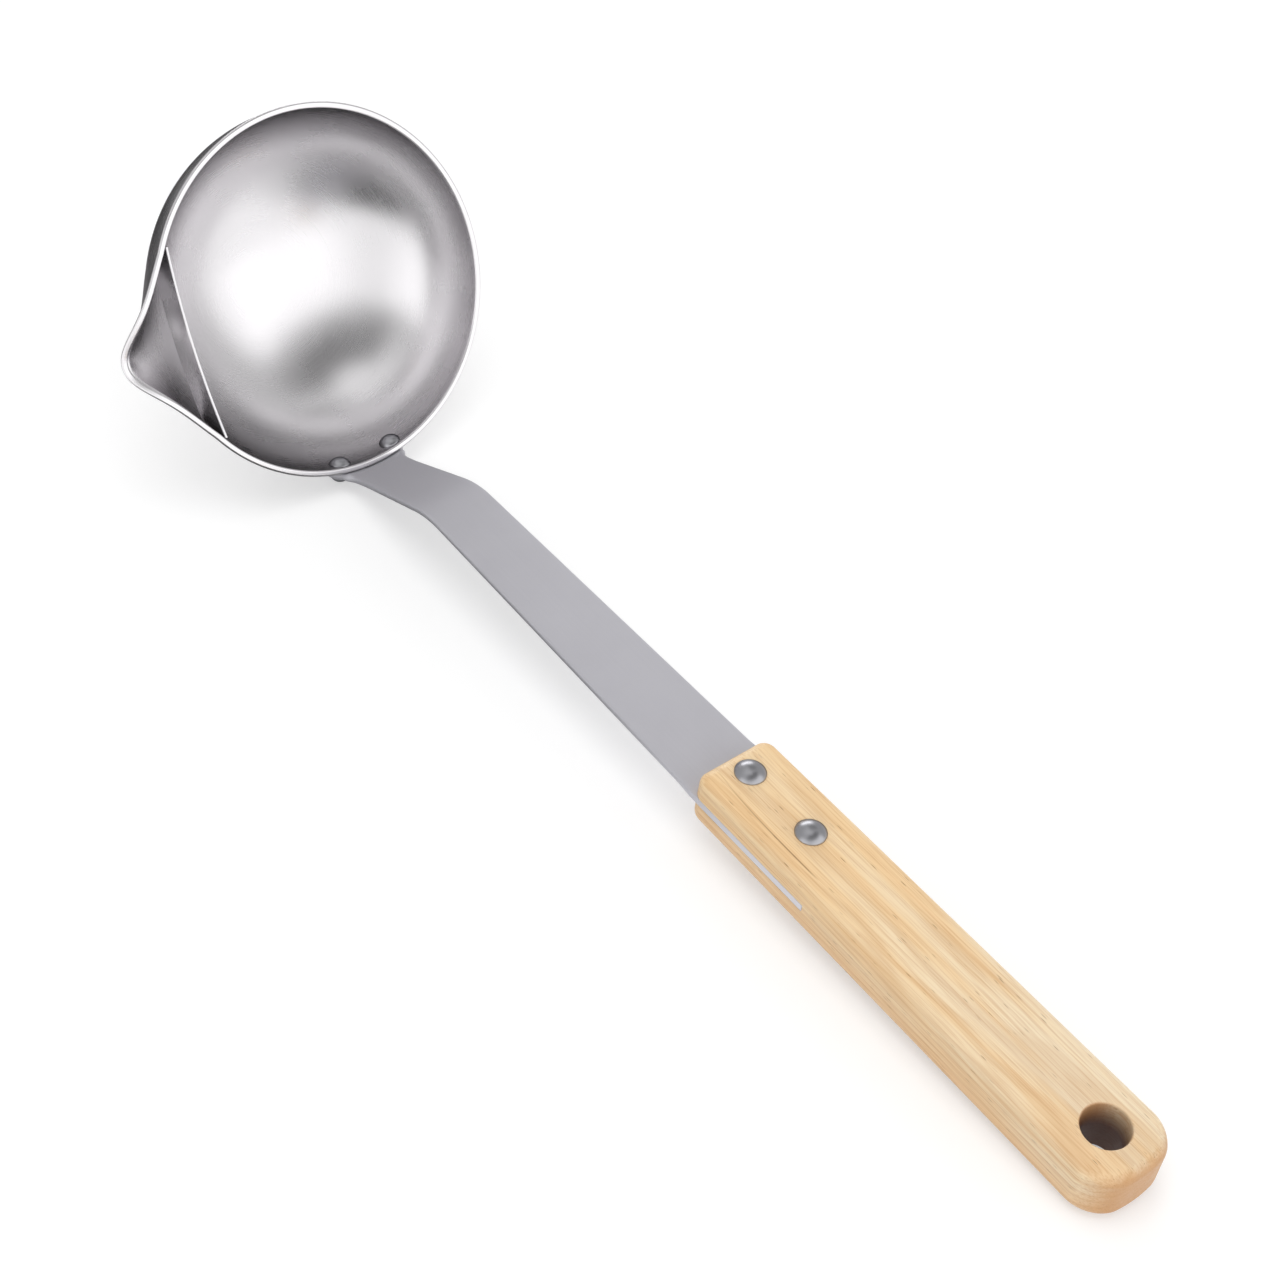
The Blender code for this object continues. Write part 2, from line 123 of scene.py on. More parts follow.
# (radius, height) points turned about Z, from a pole to a pole
def turned(name, profile, place, steps):
    rows = [circle(radius, height, steps) for radius, height in profile[1:-1]]
    return skin(name, rows, place, ((0, 0, profile[0][1]), (0, 0, profile[-1][1])))


def addPiece(name, mesh, node, material):
    piece = bpy.data.objects.new(name, mesh)
    scene.collection.objects.link(piece)
    mesh.materials.append(material)
    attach(piece, "root")
    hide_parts(node)
    low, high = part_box(node)
    over = []
    for k in range(3):
        places = [vertex.co[k] for vertex in mesh.vertices]
        over += [low[k] - min(places), max(places) - high[k]]
    print(f"{name}: {len(mesh.polygons)} faces, {max(over) / mm:+.2f} mm past its solid")
    return piece


# camera where the photograph was taken from
camera = {
    "place": (0.33604459, -0.3236134, 0.50105584), "turn": (44.6941854, -4.9744287, 50.6997942),
    "lens": 78.538, "sensor": 36, "nearest": 0.01,
}
eye = bpy.data.objects.new("eye", bpy.data.cameras.new("eye"))
scene.collection.objects.link(eye)
eye.location = camera["place"]
eye.rotation_euler = [math.radians(a) for a in camera["turn"]]
eye.data.lens = camera["lens"]
eye.data.sensor_width = camera["sensor"]
eye.data.clip_start = camera["nearest"]
scene.camera = eye
print("camera placed")

# bowl: thin sheet with a narrow brim, its edges rolled smooth, and a spout pressed out of the -Y side
bowl = {
    "rimRadius": 46.5 * mm, "depth": 35.2 * mm, "wall": 1.1 * mm, "brim": 1.6 * mm,
    "innerRound": 0.45 * mm, "outerRound": 0.5 * mm, "root": 0.25 * mm,
    "spoutReach": 9.9 * mm, "spoutDrop": 4.0 * mm, "spoutHalf": 24.0 * mm, "tipHalf": 11.9 * mm,
    "spoutDepth": 24.0 * mm, "footShare": 0.6, "flankPower": 2.2, "fadePower": 1.6,
    "columns": 240, "crowding": 0.45, "rings": 56, "roundSteps": 6, "brimSteps": 4,
    "slopeStep": 0.004,  # radians to either side of a point that the wall's slope is taken over
}


def spoutShare(x, depth):
    fade = max(0.0, 1.0 - depth / bowl["spoutDepth"])
    narrow = bowl["footShare"] + (1.0 - bowl["footShare"]) * fade
    side = abs(x) / (bowl["spoutHalf"] * narrow)
    if side >= 1.0:
        return 0.0
    flank = 1.0 + (abs(x) / (bowl["tipHalf"] * narrow)) ** bowl["flankPower"]
    return (1.0 - side * side) / flank * fade ** bowl["fadePower"]


def innerPoint(azimuth, polar):
    radius = bowl["rimRadius"] * math.cos(polar)
    depth = bowl["depth"] * math.sin(polar)
    x = radius * math.cos(azimuth)
    y = radius * math.sin(azimuth)
    share = spoutShare(x, depth) if y < 0 else 0.0
    return Vector((x, y - bowl["spoutReach"] * share, -depth - bowl["spoutDrop"] * share * share))


def outwardNormal(azimuth, polar):
    step = bowl["slopeStep"]
    around = innerPoint(azimuth + step, polar) - innerPoint(azimuth - step, polar)
    above = polar if polar < step else polar - step  # nothing is taken from above the rim
    down = innerPoint(azimuth, polar + step) - innerPoint(azimuth, above)
    return around.cross(-down).normalized()


def rimOutward(azimuth):
    step = bowl["slopeStep"]
    along = innerPoint(azimuth + step, 0.0) - innerPoint(azimuth - step, 0.0)
    return Vector((along.y, -along.x, 0.0)).normalized()


# section of the brim as (outward, up) from the inner rim, from the wall inside to the wall outside
def brimSection():
    inner, outer, root = bowl["innerRound"], bowl["outerRound"], bowl["root"]
    wall, wide = bowl["wall"], bowl["brim"]
    steps = bowl["roundSteps"]
    quarter = [math.pi / 2 * i / steps for i in range(steps + 1)]
    points = [(inner * (1 - math.cos(a)), inner * (math.sin(a) - 1)) for a in quarter]
    for i in range(1, bowl["brimSteps"] + 1):
        points.append((inner + (wide - outer - inner) * i / bowl["brimSteps"], 0.0))
    for i in range(1, 2 * steps + 1):
        a = math.pi / 2 * i / steps
        points.append((wide - outer + outer * math.sin(a), (math.cos(a) - 1) * wall / 2))
    for a in quarter:
        points.append((wall + root * (1 - math.sin(a)), -wall - root * (1 - math.cos(a))))
    return points


def makeBowl():
    # columns stand closer together in the spout
    azimuths = []
    for i in range(bowl["columns"]):
        t = 2 * math.pi * i / bowl["columns"]
        azimuths.append(-math.pi / 2 + t - bowl["crowding"] * math.sin(t))
    rings = range(bowl["rings"])
    innerStart = math.asin(bowl["innerRound"] / bowl["depth"])
    outerStart = math.asin((bowl["wall"] + 2 * bowl["root"]) / bowl["depth"])
    rows = []
    for i in reversed(rings):
        polar = innerStart + (math.pi / 2 - innerStart) * i / bowl["rings"]
        rows.append([innerPoint(a, polar) for a in azimuths])
    for out, up in brimSection()[1:]:
        rise = Vector((0, 0, up))
        rows.append([innerPoint(a, 0.0) + rimOutward(a) * out + rise for a in azimuths])
    for i in rings:
        polar = outerStart + (math.pi / 2 - outerStart) * i / bowl["rings"]
        rows.append([innerPoint(a, polar) + outwardNormal(a, polar) * bowl["wall"] for a in azimuths])
    poles = ((0, 0, -bowl["depth"]), (0, 0, -bowl["depth"] - bowl["wall"]))
    return finishMesh(skin("bowl_shell", rows, ladlePlace, poles), ladlePlace)


# separator plate: sheet with rounded edges, bowed toward the spout, its ends against the wall
plate = {
    "setback": 8.5 * mm, "bow": 1.2 * mm, "sheet": 0.8 * mm, "height": 10.0 * mm, "belowRim": 0.2 * mm,
    "endHeight": 1.0 * mm, "gap": 0.06 * mm, "stations": 72, "edgeSteps": 8, "crease": 50,
}


def makePlate():
    radius = bowl["rimRadius"] - plate["gap"]
    depth = bowl["depth"] - plate["gap"]
    near = bowl["rimRadius"] - plate["setback"]
    end = plate["belowRim"] + plate["endHeight"]
    bottom = plate["belowRim"] + plate["height"]
    reach = math.sqrt(radius ** 2 * (1 - (end / depth) ** 2) - (near + plate["sheet"]) ** 2)
    half = plate["sheet"] / 2
    edge = [math.pi * k / plate["edgeSteps"] for k in range(plate["edgeSteps"] + 1)]
    rows = []
    for i in range(plate["stations"] + 1):
        x = -reach * math.cos(math.pi * i / plate["stations"])
        bowed = near + plate["bow"] * (1 - (x / reach) ** 2)
        level = depth * math.sqrt(max(0.0, 1 - (x * x + (bowed + plate["sheet"]) ** 2) / radius ** 2))
        low = min(bottom, max(end, level))
        middle, top = -bowed - half, -plate["belowRim"] - half
        row = [(x, middle + half * math.cos(a), top + half * math.sin(a)) for a in edge]
        row += [(x, middle - half * math.cos(a), -low + half - half * math.sin(a)) for a in edge]
        rows.append(row)
    return finishMesh(skin("separator", rows, ladlePlace), ladlePlace, plate["crease"])


# strap: one length of flat steel, its tab shaped to the bowl, bent once, its tang in the wood
strap = {
    "thick": 2.0 * mm, "edge": 0.85 * mm, "tangEdge": 0.2 * mm, "leastEdge": 0.02 * mm, "seat": 0.3 * mm,
    "tab": 11.0 * mm, "tabTop": 3.4 * mm, "tabWidth": 22.5 * mm, "tabCorner": 4.0 * mm, "tabEndInset": 0.9,
    "neckWidth": 16.2 * mm, "neckHeight": 8.0 * mm, "neckSweep": 6, "shoulder": 0.4,
    "neckFlat": 4.0, "neckCurve": 250.0 * mm,  # the neck is curved across like the rim, and flattens out
    "bendWidth": 18.2 * mm, "bendRadius": 26.0 * mm, "rise": 35.5 * mm,
    "riseAngle": math.radians(83.0), "handleAngle": math.radians(57.8),
    "length": 109.5 * mm, "tang": 40.0 * mm, "proud": 0.04 * mm, "crease": 50,
    "tabRows": 24, "neckRows": 14, "flattenRows": 6, "bendRows": 16, "lengthRows": 24,
    "faceSteps": 20, "edgeSteps": 5,
}


def wallFrame(below, azimuth=0.0):
    radius = bowl["rimRadius"] + bowl["wall"]
    depth = bowl["depth"] + bowl["wall"]
    out = radius * math.sqrt(1.0 - (below / depth) ** 2)
    normal = Vector((out / radius ** 2, 0.0, -below / depth ** 2)).normalized()
    turn = Matrix.Rotation(azimuth, 3, "Z")
    return turn @ Vector((out, 0.0, -below)), turn @ normal


def strapBend():
    start = Vector((bowl["rimRadius"] + bowl["brim"] + strap["seat"], 0.0, 0.0))
    rise = Vector((math.cos(strap["riseAngle"]), 0.0, math.sin(strap["riseAngle"])))
    return start, start + rise * strap["rise"]


handlePlace = ladlePlace @ Matrix.Translation(strapBend()[1]) @ Matrix.Rotation(-strap["handleAngle"], 4, "Y")
handlePlace = handlePlace @ Matrix.Translation((0.0, 0.0, -strap["thick"] / 2))


# stations along the strap: place on its inner face, half width, radius of the curve across it
def strapStations():
    start, bend = strapBend()
    along = (bend - start).normalized()
    corner = strap["tabCorner"]
    stations = []
    for i in range(strap["tabRows"] + 1):
        share = 1.0 - math.cos(math.pi / 2 * i / strap["tabRows"])
        below = strap["tab"] - (strap["tab"] - strap["tabTop"]) * share
        point, normal = wallFrame(below)
        point += normal * strap["seat"]
        short = max(0.0, corner - (strap["tab"] - below))
        half = strap["tabWidth"] / 2 - corner + math.sqrt(corner ** 2 - short ** 2)
        stations.append((point, half, point.x))
    under = start - along * bowl["wall"]
    neck = strap["neckWidth"] / 2
    spare = (strap["tabWidth"] / 2 - neck) * strap["shoulder"]
    stations.append((under, neck + spare, under.x))
    for i in range(strap["neckRows"] + 1):
        share = i / strap["neckRows"]
        half = neck + spare * (1.0 - share) ** strap["neckSweep"]
        curve = start.x * (1.0 + strap["neckFlat"] * share)
        stations.append((start + along * strap["neckHeight"] * share, half, curve))
    turn = strap["riseAngle"] - strap["handleAngle"]
    arcStart = bend - along * (strap["bendRadius"] * math.tan(turn / 2))
    centre = arcStart + Vector((along.z, 0.0, -along.x)) * strap["bendRadius"]
    top = stations[-1][0]
    first = strap["bendWidth"] / 2
    for i in range(1, strap["flattenRows"]):
        share = i / strap["flattenRows"]
        half = neck + (first - neck) * share
        stations.append((top.lerp(arcStart, share), half, strap["neckCurve"] / (1 - share)))
    for i in range(strap["bendRows"] + 1):
        spin = Matrix.Rotation(turn * i / strap["bendRows"], 3, "Y")
        stations.append((centre + spin @ (arcStart - centre), first, None))
    ahead = Vector((math.cos(strap["handleAngle"]), 0.0, math.sin(strap["handleAngle"])))
    arcEnd = stations[-1][0]
    last = wood["frontWidth"] / 2 + strap["proud"]
    widening = (wood["width"] - wood["frontWidth"]) / 2 * strap["tang"] / wood["length"]
    mouth = bend + ahead * (strap["length"] - strap["seat"])
    for i in range(1, strap["lengthRows"] + 1):
        share = i / strap["lengthRows"]
        stations.append((arcEnd.lerp(mouth, share), first + (last - first) * share, None))
    stations.append((bend + ahead * (strap["length"] + strap["tang"]), last + widening, None))
    return stations


# outline of the strap's section as (across, through), drawn in by an inset, its corners rounded
def strapSection(half, inset, edge):
    edge = max(edge - inset, strap["leastEdge"])
    side = half - inset
    flat = side - edge
    low, high = inset, strap["thick"] - inset
    face = [flat * (2 * i / strap["faceSteps"] - 1) for i in range(strap["faceSteps"] + 1)]
    quarter = [math.pi / 2 * k / strap["edgeSteps"] for k in range(1, strap["edgeSteps"])]
    corners = []
    for i, (y, t) in enumerate((
            (flat, low + edge), (flat, high - edge), (-flat, high - edge), (-flat, low + edge))):
        turns = [math.pi / 2 * (i - 1) + a for a in quarter]
        corners.append([(y + edge * math.cos(a), t + edge * math.sin(a)) for a in turns])
    points = [(y, low) for y in face] + corners[0] + [(side, low + edge), (side, high - edge)]
    points += corners[1] + [(-y, high) for y in face] + corners[2]
    return points + [(-side, high - edge), (-side, low + edge)] + corners[3]


def makeStrap():
    stations = strapStations()
    rows = []
    lastIndex = len(stations) - 1
    for i, (point, half, curve) in enumerate(stations):
        before = stations[max(0, i - 1)][0]
        after = stations[min(lastIndex, i + 1)][0]
        along = (after - before).normalized()
        inset = strap["edge"] * strap["tabEndInset"] if i == 0 else 0.0
        edge = strap["tangEdge"] if i >= lastIndex - 1 else strap["edge"]
        row = []
        for y, t in strapSection(half, inset, edge):
            sag = slope = 0.0
            if curve:
                level = math.sqrt(curve * curve - y * y)
                sag, slope = curve - level, -y / level
            normal = Vector((slope, 1.0, 0.0)).cross(along).normalized()
            row.append(Vector((point.x - sag, y, point.z)) + normal * t)
        rows.append(row)
    return finishMesh(skin("strap_steel", rows, ladlePlace), ladlePlace, strap["crease"])


# wooden handle, wider toward its end: outlines stacked through the thickness, drawn in toward both faces
wood = {
    "length": 137.33 * mm, "width": 24.98 * mm, "frontWidth": 22.38 * mm, "thick": 15.0 * mm,
    "edge": 2.9 * mm, "edgeBelow": 3.5 * mm, "frontCorner": 3.6 * mm, "endCorner": 7.4 * mm,
    "leastCorner": 0.3 * mm, "endBow": 2.2 * mm, "slotGap": 0.06 * mm, "crease": 38,
    "hole": 11.6 * mm, "holeFromEnd": 12.83 * mm, "holeEase": 0.6 * mm, "holeTaper": 0.6 * mm,
    "arcSteps": 18, "endSteps": 12, "edgeSteps": 8, "holeSteps": 72, "easeSteps": 6,
}


def woodOutline(inset):
    half = wood["width"] / 2 - inset
    front = max(wood["frontCorner"] - inset, wood["leastCorner"])
    back = max(wood["endCorner"] - inset, wood["leastCorner"])
    end = wood["length"] - wood["endBow"] - inset
    corners = (
        (inset + front, front - half, front, math.pi, False),
        (end - back, back - half, back, math.pi * 1.5, True),
        (end - back, half - back, back, 0.0, True),
        (inset + front, half - front, front, math.pi / 2, False),
    )
    points = []
    steps = wood["arcSteps"]
    for x, y, radius, first, bowed in corners:
        for i in range(steps + 1):
            angle = first + math.pi / 2 * i / steps
            px, py = x + radius * math.cos(angle), y + radius * math.sin(angle)
            if bowed:
                px += wood["endBow"] * (1.0 - (py / half) ** 2)
            points.append((px, py))
        if bowed and y < 0:  # the bowed end needs points between its two corners
            for i in range(1, wood["endSteps"]):
                py = (half - back) * (2 * i / wood["endSteps"] - 1)
                points.append((end + wood["endBow"] * (1.0 - (py / half) ** 2), py))
    taper = 1.0 - wood["frontWidth"] / wood["width"]
    return [(px, py * (1.0 - taper * (1.0 - px / wood["length"]))) for px, py in points]


def cutAway(piece, mesh):
    cutter = bpy.data.objects.new("cutter", mesh)
    scene.collection.objects.link(cutter)
    boolean = piece.modifiers.new("cut", "BOOLEAN")
    boolean.operation = "DIFFERENCE"
    boolean.object = cutter
    bpy.context.view_layer.update()
    graph = bpy.context.evaluated_depsgraph_get()
    result = bpy.data.meshes.new_from_object(piece.evaluated_get(graph))
    piece.modifiers.clear()
    piece.data = result
    bpy.data.objects.remove(cutter, do_unlink=True)


def makeWood():
    woodPlace = handlePlace @ Matrix.Translation((strap["length"], 0.0, 0.0))
    half, steps = wood["thick"] / 2, wood["edgeSteps"]
    levels = []
    for side, edge in ((1, wood["edge"]), (-1, wood["edgeBelow"])):
        for i in range(steps + 1):
            angle = math.pi / 2 * (i if side > 0 else steps - i) / steps
            levels.append((side * (half - edge * (1 - math.cos(angle))), edge * (1 - math.sin(angle))))
    rows = [[(x, y, height) for x, y in woodOutline(inset)] for height, inset in levels]
    blank = bpy.data.objects.new("blank", skin("rubberwood_grip", rows, woodPlace))
    scene.collection.objects.link(blank)
    # saw cut for the tang, open in front and at both sides
    high = strap["thick"] / 2 + wood["slotGap"]
    wide = wood["width"]
    long = strap["tang"] + wood["slotGap"]
    section = ((-wide, -high), (wide, -high), (wide, high), (-wide, high))
    slot = [[(x, y, z) for y, z in section] for x in (-long, long)]
    cutAway(blank, skin("slot", slot, woodPlace))
    # hanging hole, its upper edge eased over, a little narrower below
    radius, ease = wood["hole"] / 2, wood["holeEase"]
    profile = [(0.0, half + ease), (radius + ease, half + ease)]
    for i in range(wood["easeSteps"] + 1):
        a = math.pi / 2 * (1 - i / wood["easeSteps"])
        profile.append((radius + ease * (1 - math.cos(a)), half - ease + ease * math.sin(a)))
    profile += [(radius - wood["holeTaper"], -half - ease), (0.0, -half - ease)]
    holePlace = woodPlace @ Matrix.Translation((wood["length"] - wood["holeFromEnd"], 0.0, 0.0))
    cutAway(blank, turned("hole", profile, holePlace, wood["holeSteps"]))
    mesh = blank.data
    mesh.name = "rubberwood_grip"
    bpy.data.objects.remove(blank, do_unlink=True)
    return finishMesh(mesh, woodPlace, wood["crease"])


# rivets: cold-headed domes at both ends of a plain shank
rivets = {
    "bowlDrop": 4.2 * mm, "bowlSpacing": 16.2 * mm, "bowlShank": 3.0 * mm, "bowlHead": 5.8 * mm,
    "bowlDome": 1.6 * mm, "bowlTail": 4.6 * mm, "bowlTailDome": 1.1 * mm,
    "gripFront": 6.9 * mm, "gripSpacing": 21.5 * mm, "gripShank": 4.0 * mm, "gripHead": 7.8 * mm,
    "gripDome": 1.9 * mm, "sink": 0.26 * mm, "lip": 0.2 * mm, "domeSteps": 14, "steps": 64, "crease": 50,
    "lipCurve": ((0.0, 0.5), (0.3, 0.12), (1.0, 0.0)),  # inward and up, as shares of the lip
}


# section of a domed head from its crown to its edge, which is rounded under
def domeSection(radius, height, base, sign):
    height = height + rivets["sink"]
    base = base - sign * rivets["sink"]
    lip = rivets["lip"]
    rise = height - lip
    sphere = (radius * radius + rise * rise) / (2 * rise)
    full = math.asin(min(1.0, radius / sphere))
    points = []
    for i in range(rivets["domeSteps"] + 1):
        a = full * i / rivets["domeSteps"]
        points.append((sphere * math.sin(a), base + sign * (height - sphere * (1 - math.cos(a)))))
    return points + [(radius - lip * inward, base + sign * lip * up) for inward, up in rivets["lipCurve"]]


def rivetMesh(name, head, tail, shank, grip, place):
    top = domeSection(head[0] / 2, head[1], 0.0, 1)
    bottom = domeSection(tail[0] / 2, tail[1], -grip, -1)
    profile = top + [(shank / 2, top[-1][1]), (shank / 2, bottom[-1][1])] + bottom[::-1]
    return finishMesh(turned(name, profile, place, rivets["steps"]), place, rivets["crease"])


def makeRivets(steel):
    seat = strap["seat"]
    grip = bowl["wall"] + strap["thick"] + 3 * seat
    for side, node in ((-1, "bowl_rivet_left"), (1, "bowl_rivet_right")):
        azimuth = side * math.asin(rivets["bowlSpacing"] / 2 / bowl["rimRadius"])
        point, normal = wallFrame(rivets["bowlDrop"], azimuth)
        turn = (-normal).to_track_quat("Z", "Y").to_matrix().to_4x4()
        place = ladlePlace @ Matrix.Translation(point - normal * (bowl["wall"] + seat)) @ turn
        head = (rivets["bowlHead"], rivets["bowlDome"])
        tail = (rivets["bowlTail"], rivets["bowlTailDome"])
        mesh = rivetMesh("domed_" + node, head, tail, rivets["bowlShank"], grip, place)
        addPiece("domed_" + node, mesh, node, steel)
    grip = wood["thick"] + 2 * seat
    for i, node in enumerate(("handle_rivet_front", "handle_rivet_rear")):
        x = strap["length"] + rivets["gripFront"] + i * rivets["gripSpacing"]
        place = handlePlace @ Matrix.Translation((x, 0.0, grip / 2))
        head = (rivets["gripHead"], rivets["gripDome"])
        mesh = rivetMesh("domed_" + node, head, head, rivets["gripShank"], grip, place)
        addPiece("domed_" + node, mesh, node, steel)


# stainless steel in three finishes, each with fine marks along the way it was worked and soft cloudy wear
# sheet spun to shape and satin finished: soft mirror, faint rings round the bowl
spunSteel = {
    "colour": "e2e0e2", "edgeTint": "949294", "roughness": 0.27, "spread": 0.04, "cloudMm": 16.0,
    "marksMm": 0.5, "marks": 0.03, "round": True,  # rings drawn coarser than real polishing lines, to show
}
# strip, cold rolled and tumbled: even silky grey with faint lines along its length
stripSteel = {
    "colour": "d9d8dd", "edgeTint": "d6d6da", "roughness": 0.7, "spread": 0.04, "cloudMm": 12.0,
    "marksMm": 0.35, "marksLongMm": 50.0, "marks": 0.06, "round": False,  # lines drawn coarser than real, to show
}
# rivet wire, cold headed: smooth dome, a little duller than a polish
headedSteel = {
    "colour": "a8a8ac", "edgeTint": "9c9ca0", "roughness": 0.30, "spread": 0.03, "cloudMm": 2.5,
    "marksMm": 0.3, "marks": 0.04, "round": True,  # rings drawn coarser than real, to show
}
# wear is the clouds plus a share of the marks, and goes from the smoothest to the roughest over this range
steelWear = {"marksShare": 0.5, "range": (0.45, 1.05), "reliefMm": 0.01}


def makeSteel(name, look):
    material, tree = newMaterial(name)
    own = addNode(tree, "ShaderNodeAttribute", {"attribute_name": "own"}).outputs["Vector"]
    quick = 1 / look["marksMm"]
    if look["round"]:  # rings: the pattern changes with the distance from the axis and with height only
        flat = addNode(tree, "ShaderNodeVectorMath", {"operation": "MULTIPLY", 1: (1, 1, 0)}, {0: own})
        away = addNode(tree, "ShaderNodeVectorMath", {"operation": "LENGTH"}, {0: flat.outputs[0]})
        height = addNode(tree, "ShaderNodeSeparateXYZ", None, {0: own})
        lie = addNode(
            tree, "ShaderNodeCombineXYZ", None, {"X": away.outputs["Value"], "Y": height.outputs["Z"]})
        marksAlong = addNode(
            tree, "ShaderNodeVectorMath", {"operation": "SCALE", "Scale": quick}, {0: lie.outputs[0]})
    else:  # lines: the pattern changes quickly across the strip and slowly along it
        slow = 1 / look["marksLongMm"]
        marksAlong = addNode(
            tree, "ShaderNodeVectorMath", {"operation": "MULTIPLY", 1: (slow, quick, slow)}, {0: own})
    marks = addNode(
        tree, "ShaderNodeTexNoise", {"Scale": 1.0, "Detail": 2.0}, {"Vector": marksAlong.outputs[0]})
    cloud = addNode(
        tree, "ShaderNodeTexNoise", {"Scale": 1 / look["cloudMm"], "Detail": 3.0}, {"Vector": own})
    wear = addNode(
        tree, "ShaderNodeMath", {"operation": "MULTIPLY_ADD", 1: steelWear["marksShare"]},
        {0: marks.outputs["Fac"], 2: cloud.outputs["Fac"]})
    rough = addNode(
        tree, "ShaderNodeMapRange",
        {"From Min": steelWear["range"][0], "From Max": steelWear["range"][1],
         "To Min": look["roughness"] - look["spread"], "To Max": look["roughness"] + look["spread"]},
        {"Value": wear.outputs[0]})
    relief = addNode(
        tree, "ShaderNodeBump", {"Strength": look["marks"], "Distance": steelWear["reliefMm"] * mm},
        {"Height": marks.outputs["Fac"]})
    shader = addNode(
        tree, "ShaderNodeBsdfPrincipled",
        {"Base Color": toLinear(look["colour"]), "Metallic": 1.0, "Specular Tint": toLinear(look["edgeTint"])},
        {"Roughness": rough.outputs[0], "Normal": relief.outputs[0]})
    addNode(tree, "ShaderNodeOutputMaterial", None, {"Surface": shader.outputs["BSDF"]})
    return material


# rubberwood, machined, sanded and thinly oiled: straw ground with broad soft figure on the flat faces,
# close growth lines on the sides, short brown pores along the grain, and end grain that drinks the oil
# painted shade: the handle turns warmer and darker toward its lower face, and the hole's wall darkens downward
rubberwood = {
    "pale": "f5e3c4", "straw": "f3d7ad", "warmFigureAndShade": "ecc291", "gold": "f4cf98", "line": "c0884c",
    "pore": "80501f", "endGrain": "c8915c", "holeWallAndShade": "521f06",
    "roughness": 0.46, "sheen": (0.3, 0.7, -0.05, 0.06),  # over this range of the fibres, by this much
    "figureMm": (75.0, 6.0), "fibreMm": (13.0, 0.32),  # along and across the grain, fibres coarser to show
    "driftMm": (60.0, 10.0), "drift": 5.0, "ringMm": 1.9, "ringEdge": (0.2, 0.5), "heart": (5.0, -30.0),
    "poreMm": (6.5, 0.6), "poreEdge": (0.08, 0.2),  # pores drawn about twice as wide as real, to show
    "poreKeep": (0.35, 0.9), "poreDent": -2.0, "relief": 0.35, "reliefMm": 0.05,
    "streakEnds": (4.0, 27.0, 36.0, 40.0), "streakStart": 0.15, "streakTop": (3.0, 5.0), "streakMm": 0.3,
    "streakSide": -8.4, "streakBend": 2.6, "streakBendMm": 8.0, "streakWobble": 1.2,
    # painted shade in the hole: a small share at the mouth, full from the middle of the thickness down
    "holeRimMm": (0.05, 0.35), "holeShadeMm": (6.5, 0.0), "holeMouth": 0.25,
}


